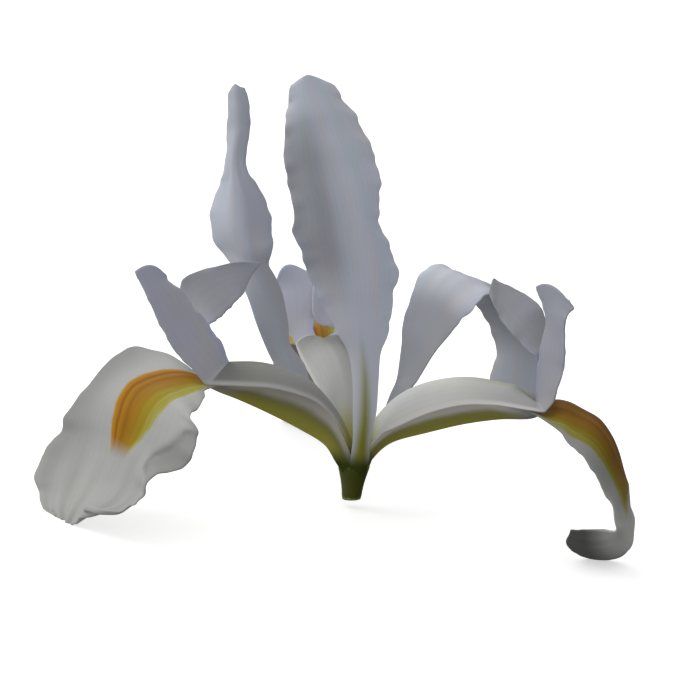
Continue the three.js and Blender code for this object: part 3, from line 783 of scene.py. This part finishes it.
# The standards: the three inner petals, narrow where they leave the tube and then long and soft.
# They are the thinnest petals, pale lavender white, and green at the foot.
STANDARDS = {
    "front": {
        "azimuth": 282,
        "blade": [
            [(1.9, -1.2, 5), (2.4, 0.2, 5), (1.9, 1.5, 5)],
            [(3.3, -1.7, 8.2), (3.9, 0.2, 8.2), (3.3, 2, 8.2)],
            [(4.8, -1.5, 12.8), (5.6, 0.2, 12.8), (4.8, 1.9, 12.8)],
            [(6.2, -1.8, 17.6), (7.2, 0.3, 18), (6.4, 2.7, 18)],
            [(7.8, -2.2, 25), (9, -0.1, 25.2), (8, 2.8, 25)],
            [(8.8, -3.2, 30.4), (10.4, -0.8, 30.6), (9, 3, 30.2)],
            [(9.6, -5.6, 34.8), (11.8, -1.6, 35), (9.8, 4.4, 34.4)],
            [(10.6, -8, 39), (13, -2.4, 39.2), (10.6, 4.4, 37.4)],
            [(11.8, -10, 42.8), (14.4, -3, 43), (11.6, 5.2, 42.4)],
            [(12.8, -12.1, 46.8), (15.4, -3.8, 47), (12.6, 5.4, 46.4)],
            [(13.8, -13.1, 50.4), (16.4, -4.6, 50.8), (13.6, 4, 50.2)],
            [(14.8, -14.9, 54), (17.2, -5.4, 54.6), (14.6, 2, 54)],
            [(15.6, -14.8, 58.2), (17.8, -6.2, 58.2), (15.4, 1.1, 57.8)],
            [(16.2, -15.8, 62), (18.2, -7.2, 62), (16.2, 1.3, 61.6)],
            [(16.4, -16.4, 65.6), (18.4, -8.2, 65.6), (16.4, 0.9, 65.2)],
            [(16.8, -16.8, 69.2), (18.8, -9.2, 69.2), (16.8, -0.5, 69)],
            [(17.2, -16.6, 72.8), (18.8, -10.2, 72.8), (17.2, -2.1, 72.6)],
            [(17.4, -16.4, 75.8), (19, -11, 75.8), (17.4, -4.1, 75.8)],
            [(17.6, -16, 78.6), (18.8, -11.8, 78.6), (17.6, -6.2, 78.5)],
            [(17.6, -15.6, 80.6), (18.6, -12.4, 80.8), (17.6, -7.9, 80.9)],
            [(17.6, -14.6, 81.8), (18.6, -12.8, 82.7), (17.6, -10.6, 82.4)],
        ],
        "waves": {-1: (9, 0.2, 0.35), 1: (12, 0.32, 0.36)},
    },
    "left": {
        "azimuth": 160,
        "blade": [
            [(2.1, -0.9, 5), (2.4, 0, 5), (2.1, 0.9, 5)],
            [(4.2, -1.6, 10), (4.4, 0, 10), (4.4, 1.6, 10)],
            [(7.6, -2.2, 15), (7.6, 0, 15.4), (8.6, 2.3, 16)],
            [(10.2, -3.2, 20), (10.6, 0.2, 20.6), (12.15, 2.7, 21)],
            [(12.2, -4.4, 24.8), (13.2, 0.5, 25.8), (15.55, 3.1, 26)],
            [(14.6, -2.8, 28.8), (14.8, 0.6, 29.2), (16.95, 4.1, 29.6)],
            [(16, -5.2, 32.4), (15.8, 0.2, 33.2), (18.35, 5.2, 34.2)],
            [(16.8, -5.4, 37), (17.4, 0.4, 37.6), (20.2, 4.2, 38)],
            [(18.1, -4.9, 40.8), (18.8, 0.6, 41.2), (22.3, 2.8, 41.2)],
            [(19.1, -3.7, 44.4), (20.7, 1.4, 44.4), (24.7, 1.3, 44.2)],
            [(18.4, -2.8, 47.6), (21.8, 2.2, 47.4), (27.9, -0.9, 47.1)],
            [(18.4, -3.6, 49.4), (22.6, 2.6, 49.8), (30.2, -1.4, 49.4)],
            [(18.7, -3.6, 51.8), (23, 2.8, 52), (30.3, -1.2, 51.7)],
            [(19, -3, 54.8), (23, 2.8, 55), (30.1, -0.8, 54.8)],
            [(19.4, -2.05, 57.8), (23, 3, 58), (29.2, -0.3, 57.8)],
            [(20.6, -0.2, 60.6), (23.2, 3.2, 60.6), (27.4, 0.9, 60.6)],
            [(21.5, 1.2, 63), (23.4, 3.2, 62.8), (26.1, 2.2, 62.8)],
            [(21.8, 1.4, 66.2), (23.4, 3.4, 66.2), (25.6, 2.3, 66.4)],
            [(21.4, 1.2, 69.6), (23, 3.4, 69.4), (25.4, 2.1, 69.4)],
            [(21, 0.8, 71.6), (22.8, 3.2, 71.6), (25.4, 1.8, 71.8)],
            [(21.2, 1.2, 74.6), (22.8, 3.4, 74.4), (25.2, 2.2, 74.6)],
            [(21.2, 1.4, 77), (22.8, 3.4, 76.8), (25, 2.2, 76.8)],
            [(21.6, 2, 78.8), (22.8, 3.6, 78.6), (24.4, 2.6, 78.6)],
            [(22.1, 2.8, 79.3), (22.9, 3.6, 79.9), (23.7, 3.1, 79.6)],
        ],
        "waves": {-1: (9, 0.1, 0.2), 1: (8, 0.6, 0.2)},
    },
    "right": {
        "azimuth": 40,
        "blade": [
            [(2.1, -0.9, 5), (2.4, 0, 5), (2.1, 0.9, 5)],
            [(4.6, -1.4, 10.4), (5, 0, 10.6), (4.8, 1.2, 10.2)],
            [(6.8, -1.8, 14), (7.4, 0, 14.2), (7.6, 1.6, 13.4)],
            [(10.6, -2.6, 19.4), (11.2, 0, 20), (11, 2.4, 18.4)],
            [(12.8, -3.3, 21.8), (13.6, 0.2, 22.6), (13.8, 3.6, 21)],
            [(14.7, -4, 24.8), (15.6, 0.4, 25.6), (15.8, 5, 24.4)],
            [(16.6, -4.7, 27.6), (17.2, 0.8, 29), (17.3, 6.1, 28.2)],
            [(19, -5.2, 30.2), (19.2, 1.2, 32.2), (19, 7.4, 31.8)],
            [(21.4, -5.9, 32.5), (21.2, 1.4, 35.2), (20.9, 8.1, 35.6)],
            [(23.7, -5.8, 34.2), (23.6, 2, 37.6), (23.4, 8.8, 38.6)],
            [(26.2, -5.8, 35.8), (26.6, 2.4, 39.8), (26.6, 9.9, 41.4)],
            [(28.5, -5.9, 37.3), (29.8, 2.6, 40.8), (31, 10.6, 42)],
            [(30.8, -6.1, 38), (32.8, 2.8, 40), (35.4, 11, 39.8)],
            [(32.6, -6.6, 37), (35.4, 2.6, 39.2), (39.2, 11, 37.6)],
            [(34.2, -7, 35.6), (37.6, 2.2, 38), (42, 11.6, 35.4)],
            [(35.8, -7.8, 33.6), (39.6, 1.8, 35.4), (43.8, 12.7, 32.8)],
            [(37.6, -8.4, 31.6), (41.6, 1.4, 33), (45, 11.8, 30)],
            [(39.4, -8.7, 29.4), (43.2, 1, 29.8), (46.2, 10.3, 26.8)],
            [(41, -8.9, 26.6), (44.2, 0.8, 26.6), (46.6, 9.4, 23.8)],
            [(42.2, -8.6, 24.2), (44.6, 0.6, 23.6), (46, 8.8, 21)],
            [(43.6, -8, 20.4), (44.4, 0.6, 20.4), (44.4, 8.2, 18.2)],
            [(44.2, -6.6, 16.8), (43.8, 0.8, 17.4), (42.6, 7.4, 15.8)],
            [(44.4, -4, 13.6), (43, 1, 14.6), (40.6, 6, 13.6)],
        ],
        "waves": {-1: (8, 0.2, 0.25), 1: (9, 0.4, 0.3)},
    },
}

LAVENDER_WHITE = (0.81, 0.85, 0.935)
TINTS = [
    (0.3, (0.79, 0.845, 0.87)),
    (0.45, LAVENDER_WHITE),
    (0.6, (0.84, 0.835, 0.89)),
    (0.72, (0.82, 0.855, 0.91)),
]
TINT_STRETCH = (2.2, 1.8, 1)
RIB_GREEN = (0.42, 0.41, 0.06)


# Only the front standard has a green midrib low down, and its marks are 1 across to tell.
def standard_paint(tree, v, u, across, **others):
    on_blade = wire(tree, "ShaderNodeCombineXYZ", {"X": v, "Y": u}).outputs["Vector"]
    tinted = colour_ramp(tree, stretched_noise(tree, on_blade, TINT_STRETCH, 2.0), TINTS)
    narrowing = on_top(tree, u, 4.6, figure(tree, "ABSOLUTE", v))
    rib = product(tree, across, without(tree, share(tree, narrowing, 0.5, 1.5)))
    tissue = mix_colour(tree, rib, tinted, RIB_GREEN)
    return mix_colour(tree, without(tree, share(tree, u, 0.0, 0.06)), tissue, FOOT_GREEN)


# Painted shade on the standards: how much darker their colour is painted where light falls weaker,
# the front one on its left half, the left one at its stem and where it isn't turned to the light,
# and the right one but for its bend and its end.
def standard_painted_shade(side, u, v):
    if side == "front":
        return 0.3 * (1 - smooth(v, -0.5, 0.2)) * within(u, 0.35, 0.5, 0.75, 0.9)
    if side == "left":
        stem = 0.1 * (1 - smooth(u, 0.36, 0.46))
        turned = 0.12 * smooth(v, -0.2, 0.6) * within(u, 0.5, 0.6, 0.75, 0.85)
        return 0.12 + stem - turned
    return 0.42 - 0.37 * within(u, 0.36, 0.46, 0.54, 0.66) - 0.24 * smooth(u, 0.75, 0.9)


STANDARD_THICKNESS = 0.36
STANDARD_ROWS = 132
STANDARD_COLUMNS = 36
STANDARD_TIP_ROUND = 0.03
STANDARD_SCALLOP = 0.012
STANDARD_KEEL = 0.4
STANDARD_PLEATS = 1.3
STANDARD_PLEAT_DEPTH = 0.14
STANDARD_VEINS = 18
STANDARD_SEE_THROUGH = 0.36
standard_tissue = petal_tissue("standard_tissue", standard_paint, STANDARD_SEE_THROUGH, STANDARD_VEINS)
for side, standard in STANDARDS.items():
    azimuth = standard["azimuth"]
    rails = [[place(azimuth, station[column]) for station in standard["blade"]] for column in range(3)]
    sheet = petal_sheet(
        rails,
        STANDARD_ROWS,
        STANDARD_COLUMNS,
        STANDARD_TIP_ROUND,
        lambda u: STANDARD_SCALLOP,
        lambda u: STANDARD_KEEL * (1 - smooth(u, 0.1, 0.4)),
        lambda u, v: (
            ruffle(standard["waves"], u, v) * smooth(u, 0.2, 0.4)
            + pleats(u, v, STANDARD_PLEATS, STANDARD_PLEAT_DEPTH) * within(u, 0.25, 0.5, 0.6, 0.9)
        ),
    )
    piece = petal_sheet_mesh(f"standard_{side}_petal", sheet)
    # Each point keeps the standard's painted shade, and the front one a 1 for its rib.
    keep_marks_and_shade(piece, lambda u, v: (side == "front", 0, standard_painted_shade(side, u, v)))
    solidify_blade(piece, STANDARD_THICKNESS)
    finish_piece(piece, standard_tissue, f"standard_{side}")


# The style arms: each is a petal-like roof over the claw of a fall, in two halves that meet at a
# ridge and run on as two upright crest lobes with a ruffled outer edge. Each lobe, 1 or -1, is
# given by its inner and its outer edge, and the shades entry gives the painted shade of the roof
# (0) and the lobes: how much darker their colour is painted, or lighter, painted light, below 0.
STYLE_ARMS = {
    "left": {
        "azimuth": LEFT,
        "painted_shades": {0: 0.41, 1: -0.06, -1: 0.2},
        "ridge": [(1.2, 11), (4.6, 17.4), (10.4, 24), (15.8, 27), (22.2, 29.2), (29.2, 30.1)],
        "margin": [
            (2, 1.2, 9.6), (6.6, 2.4, 16.2), (12, 3.8, 20.8), (17.6, 4.7, 23.4), (24, 5.2, 25.4),
            (30.8, 5.4, 26.6),
        ],
        1: (
            [
                (29.8, 0.4, 30.2), (30.8, 0.8, 32), (32, 1.2, 34.2), (34, 1.6, 36.6), (36.2, 2, 39),
                (38.4, 2.6, 41.2), (40.4, 3, 43.4), (42.6, 3.4, 45.4), (44.6, 3.8, 46.8), (46, 4.4, 48),
            ],
            [
                (38.6, 5.6, 27.8), (40.6, 5.8, 30.2), (42.8, 6, 32.2), (45.2, 6.2, 34.6),
                (47, 6.4, 37.2), (48.6, 6.6, 39.8), (50, 6.8, 42.4), (51.6, 7, 45.4),
                (52.8, 7, 47.8), (54, 7, 49.8),
            ],
        ),
        -1: (
            [
                (29.4, -0.4, 30), (30, -0.8, 32), (30.8, -1.8, 34.4), (31.6, -3, 36.8),
                (29.9, -3.4, 37.5), (28.4, -3.9, 38), (26.8, -4.4, 38.8), (25.2, -4.8, 39.7),
                (23.6, -5.2, 40.7), (22, -5.6, 41.6),
            ],
            [
                (28, -5.6, 26.8), (30, -6.4, 29.4), (32.4, -7.6, 33.6), (33.6, -8.6, 37.4),
                (34, -9.2, 41), (33.3, -9.6, 44.5), (30.6, -9.4, 45.9), (26.8, -9, 46.6),
                (21.8, -8, 47.3), (17, -6.5, 46.9),
            ],
        ),
    },
    "right": {
        "azimuth": RIGHT,
        "painted_shades": {0: 0, 1: 0.3, -1: 0.18},
        "ridge": [(1.4, 11), (4.8, 16.8), (9.2, 21.1), (15.2, 24), (23, 25.3), (31.8, 24.2)],
        "margin": [
            (2, 1.2, 9), (5.8, 2.6, 13.2), (10.4, 3.8, 15.8), (16.6, 4.8, 18.9), (23.4, 5.2, 21),
            (30, 5.4, 21.5),
        ],
        1: (
            [
                (35.8, 0.4, 21.6), (36, 0.8, 23.6), (36, 1.4, 26.6), (35.4, 2, 29.2),
                (33.8, 2.8, 30.4), (31.8, 3.4, 32), (29.8, 4, 33.6), (28.2, 4.8, 35),
                (26.8, 5.6, 36.8), (25.6, 6.2, 38.6), (24.6, 6.8, 40.6),
            ],
            [
                (36.4, 5.4, 20.4), (37, 6, 22.4), (37.4, 6.6, 25.4), (37.4, 7.4, 28.8),
                (36.6, 8, 32), (35.6, 8.4, 35.4), (34.4, 8.4, 38.2), (32.4, 8.8, 39.8), (30, 9, 41),
                (27.4, 9, 42.1), (25, 9, 42.2),
            ],
        ),
        -1: (
            [
                (36.2, -0.6, 21.4), (36.3, -1.2, 23.8), (36.6, -1.6, 26.4), (36.8, -2, 29.2),
                (37.2, -2.4, 31.8), (37.8, -2.4, 34.4), (38.3, -2.6, 36.8), (38.2, -2.8, 38.8),
                (37.6, -2.6, 40.6), (36.6, -2.4, 42.4), (36.4, -2.7, 43.8),
            ],
            [
                (39.2, -5.8, 20.8), (40.9, -6, 23), (41.8, -6.4, 25.6), (42.6, -6.4, 28.4),
                (43, -6.6, 30.8), (43.2, -6.8, 33.6), (42.9, -7, 36.2), (43.2, -7.2, 38),
                (43.7, -7.2, 39.6), (44.7, -7.5, 40.8), (43.6, -7.1, 42),
            ],
        ),
    },
    "back": {
        "azimuth": BACK,
        "painted_shades": {0: 0.2, 1: -0.15, -1: -0.15},
        "ridge": [(1.2, 10), (5, 17), (10, 22), (16, 25), (22, 26.4), (28, 26.8)],
        "margin": [
            (1.2, 1.1, 8.8), (5, 2.3, 14), (10, 3.9, 17.2), (16, 4.7, 20.2), (22, 5.1, 22),
            (28, 5.1, 23.4),
        ],
        1: (
            [
                (30.4, 1.2, 27), (31.2, 1.6, 28.6), (31.9, 0.7, 30.2), (32.2, -0.6, 33),
                (32.6, -0.4, 37), (33.5, 2.4, 39.9),
            ],
            [
                (30.6, 5.3, 25), (31.2, 6.4, 27.2), (31.6, 7.8, 30), (32.3, 8.8, 33.5),
                (33.4, 9.2, 37), (32.5, 8.4, 40.3),
            ],
        ),
        -1: (
            [
                (30.4, -1.6, 27), (31, -3.8, 27.8), (31, -2.4, 28.6), (31, 1.2, 29.9),
                (31.4, 1.8, 36.5), (32.8, -1, 40.6),
            ],
            [
                (30.6, -5.3, 25), (31.2, -6.4, 27.2), (31.6, -7.8, 30), (32.3, -8.8, 33.5),
                (33.4, -9.2, 37), (32.5, -8.4, 41),
            ],
        ),
    },
}
ROOF_BULGE = 0.7
TIP_BULGE = 1
SUNK_TIPS = {("left", -1): -0.5}
ARM_THICKNESS = 0.45
ROWS_A_STATION = 7
ARM_COLUMNS = 20
ARM_VEINS = 12
ARM_SEE_THROUGH = 0.3
CREST_SCALLOP = 0.012
CREST_WAVES = {-1: (6, 0.2, 0.24), 1: (6, 0.2, 0.08)}
FORK = 0.4
WELD = 0.02
GREENISH_WHITE = (0.85, 0.865, 0.8)
ROOF_GREY = (0.83, 0.83, 0.82)
RIDGE_GREEN = (0.5, 0.54, 0.16)
# The margin's white: partly its own paler rim, partly painted light against the edge's shade.
PALE_AND_LIT_MARGIN = (0.92, 0.89, 0.87)
CREST_LAVENDER = (0.67, 0.685, 0.78)
CREST_GREY = (0.69, 0.69, 0.73)
CREASE_BLUE = (0.6, 0.64, 0.88)


# An arm's u runs from its foot to the fork, where the roof ends, and on along the crests. Its v is
# 0 on the ridge and at the crests' inner edges.
def arm_paint(tree, v, u, clouds, **others):
    crest = share(tree, u, FORK - 0.04, FORK + 0.04)
    away = figure(tree, "ABSOLUTE", v)
    roof = mix_colour(tree, share(tree, clouds, 0.3, 0.7), GREENISH_WHITE, ROOF_GREY)
    ridge = product(tree, without(tree, share(tree, away, 0.0, 0.3)), share(tree, u, 0.2, 0.32))
    roof = mix_colour(tree, product(tree, ridge, mix_value(tree, clouds, 0.05, 0.55)), roof, RIDGE_GREEN)
    # The roof's margins are whiter: partly a paler rim, partly painted light over the edge's shade.
    margin = product(tree, share(tree, away, 0.8, 0.95), without(tree, crest))
    roof = mix_colour(tree, product(tree, margin, mix_value(tree, clouds, 0.6, 1.0)), roof, PALE_AND_LIT_MARGIN)
    lobe = mix_colour(tree, share(tree, clouds, 0.3, 0.75), CREST_LAVENDER, CREST_GREY)
    inner = without(tree, share(tree, away, 0.02, 0.3))
    crease = product(tree, inner, without(tree, share(tree, u, 0.48, 0.75)))
    lobe = mix_colour(tree, product(tree, crease, mix_value(tree, clouds, 0.3, 1.0)), lobe, CREASE_BLUE)
    tissue = mix_colour(tree, crest, roof, lobe)
    return mix_colour(tree, without(tree, share(tree, u, 0.0, 0.09)), tissue, OLIVE)


# Painted shade on a roof: it is painted darker towards its end, and less so towards its margins.
def roof_painted_shade(shade, u, v):
    at_end = 0.34 * (1 - shade) * smooth(u, 0.22, 0.38)
    return (shade * (1.15 - 0.45 * abs(v)) + at_end) * (1 - smooth(abs(v), 0.8, 0.95))


style_tissue = petal_tissue("style_tissue", arm_paint, ARM_SEE_THROUGH, ARM_VEINS)
for side, arm in STYLE_ARMS.items():
    ridge = [(out, 0, up) for out, up in arm["ridge"]]
    corners = (len(ridge) - 1, len(ridge))
    painted_shades = arm["painted_shades"]
    halves = []
    for sign in (1, -1):
        inner, outer = arm[sign]
        top = ridge + inner
        low = [(out, sign * width, up) for out, width, up in arm["margin"]] + outer
        fold = len(ridge) / (len(top) - 1)
        mid = [
            ((a[0] + b[0]) / 2, (a[1] + b[1]) / 2 + sign * ROOF_BULGE, (a[2] + b[2]) / 2 + ROOF_BULGE)
            for a, b in zip(top, low)
        ]
        out, across, up = mid[-1]
        mid[-1] = (out, across, up + SUNK_TIPS.get((side, sign), TIP_BULGE))
        rails = [[place(arm["azimuth"], point) for point in rail] for rail in (top, mid, low)[::sign]]
        sheet = petal_sheet(
            rails,
            ROWS_A_STATION * (len(top) - 1),
            ARM_COLUMNS,
            0,
            lambda u: CREST_SCALLOP * smooth(u, fold, fold + 0.1),
            lambda u: 0,
            lambda u, v: ruffle(CREST_WAVES, u, v) * smooth(u, fold, fold + 0.2),
            corners,
        )
        half = petal_sheet_mesh(
            f"style_arm_{side}_{sign}",
            sheet,
            lambda v: (v + sign) / 2,
            lambda u: FORK * u / fold if u < fold else FORK + (1 - FORK) * (u - fold) / (1 - fold),
        )
        # The roof gets its painted shade from entry 0 of the shades entry, and each lobe its own.
        keep_marks_and_shade(half, lambda u, v: (0, 0, roof_painted_shade(painted_shades[0], u, v) if u < FORK else painted_shades[sign]))
        halves.append(half)
    deselect_all()
    for half in halves:
        half.select_set(True)
    bpy.context.view_layer.objects.active = halves[0]
    bpy.ops.object.join()
    piece = bpy.context.object
    piece.name = f"style_arm_{side}_roof"
    edit_all(bpy.ops.mesh.remove_doubles, threshold=WELD * MM)
    solidify_blade(piece, ARM_THICKNESS)
    finish_piece(piece, style_tissue, f"style_arm_{side}")


# The stamens: a thin pale filament lies in each claw under the style arm, and carries a long anther
# of two yellow pollen sacs with a groove between them.
FILAMENTS = {
    "left": (LEFT, [(3.2, 9.4), (7.5, 15), (13.5, 20), (19.5, 23.8)]),
    "right": (RIGHT, [(3.2, 9.4), (7.5, 14.3), (13.5, 18), (19.5, 20.3)]),
    "back": (BACK, [(3.2, 9.4), (7.5, 14.5), (13.5, 19), (19.5, 22)]),
}
FILAMENT_RADIUS = 0.55
FILAMENT_TAPER = 0.3
FILAMENT_ENDS = 9
ANTHER_LENGTH = 10
ANTHER_WIDTH = 1.8
ANTHER_DEPTH = 1.2
ANTHER_BLUNTNESS = 0.45
GROOVE_DEPTH = 0.45
GROOVE_WIDTH = 0.3
CLEARANCE = 0.3
STEP = 0.01


# A round body along a curve, from pole to pole; `ring(t, angle)` gives its half width and depth.
def round_body(name, rail, sideways, ring, rings, sides):
    deselect_all()
    bpy.ops.mesh.primitive_uv_sphere_add(segments=sides, ring_count=rings, radius=1, calc_uvs=False)
    body = bpy.context.object
    body.name = name
    for vertex in body.data.vertices:
        t = math.acos(min(max(vertex.co.z, -1), 1)) / math.pi
        angle = math.atan2(vertex.co.y, vertex.co.x)
        heading = (along(rail, min(t + STEP, 1)) - along(rail, max(t - STEP, 0))).normalized()
        wide, deep = ring(t, angle)
        upward = heading.cross(sideways)
        offset = sideways * wide * math.cos(angle) + upward * deep * math.sin(angle)
        vertex.co = settle @ (along(rail, t) + offset)
    edit_all(bpy.ops.mesh.normals_make_consistent, inside=False)
    return body


def filament_ring(t, angle):
    radius = FILAMENT_RADIUS * (1 - FILAMENT_TAPER * t) * min(1, FILAMENT_ENDS * math.sin(math.pi * t))
    return radius, radius


def anther_ring(t, angle):
    blunt = math.sin(math.pi * t) ** ANTHER_BLUNTNESS
    groove = 1 - GROOVE_DEPTH * math.exp(-(math.cos(angle) / GROOVE_WIDTH) ** 2)
    return ANTHER_WIDTH / 2 * blunt, ANTHER_DEPTH / 2 * blunt * groove


def grained(name, first, second, scale, relief):
    material, tree, shader = new_material(name)
    grains = noise_in(tree, wire(tree, "ShaderNodeTexCoord").outputs["Object"], scale, 3.0)
    connect(tree, shader, {
        "Base Color": mix_colour(tree, share(tree, grains, 0.35, 0.65), first, second),
        "Normal": relief_normal(tree, grains, relief, 0.08),
        "Roughness": 0.75,
    })
    return material


pale_thread = grained("pale_thread", (0.62, 0.64, 0.42), (0.76, 0.77, 0.66), 700.0, 0.15)
pollen_grains = grained("pollen_grains", (0.55, 0.42, 0.1), (0.8, 0.68, 0.3), 5200.0, 0.8)
for side, (azimuth, course) in FILAMENTS.items():
    rail = [place(azimuth, (out, 0, up)) for out, up in course]
    sideways = place(azimuth, (0, 1, 0))
    filament = round_body(f"filament_{side}_thread", rail, sideways, filament_ring, 48, 12)
    finish_piece(filament, pale_thread, f"filament_{side}")
    heading = (rail[-1] - along(rail, 1 - STEP)).normalized()
    start = rail[-1] + CLEARANCE * heading
    anther_rail = [start, start + ANTHER_LENGTH * heading]
    anther = round_body(f"anther_{side}_sacs", anther_rail, sideways, anther_ring, 40, 32)
    finish_piece(anther, pollen_grains, f"anther_{side}")
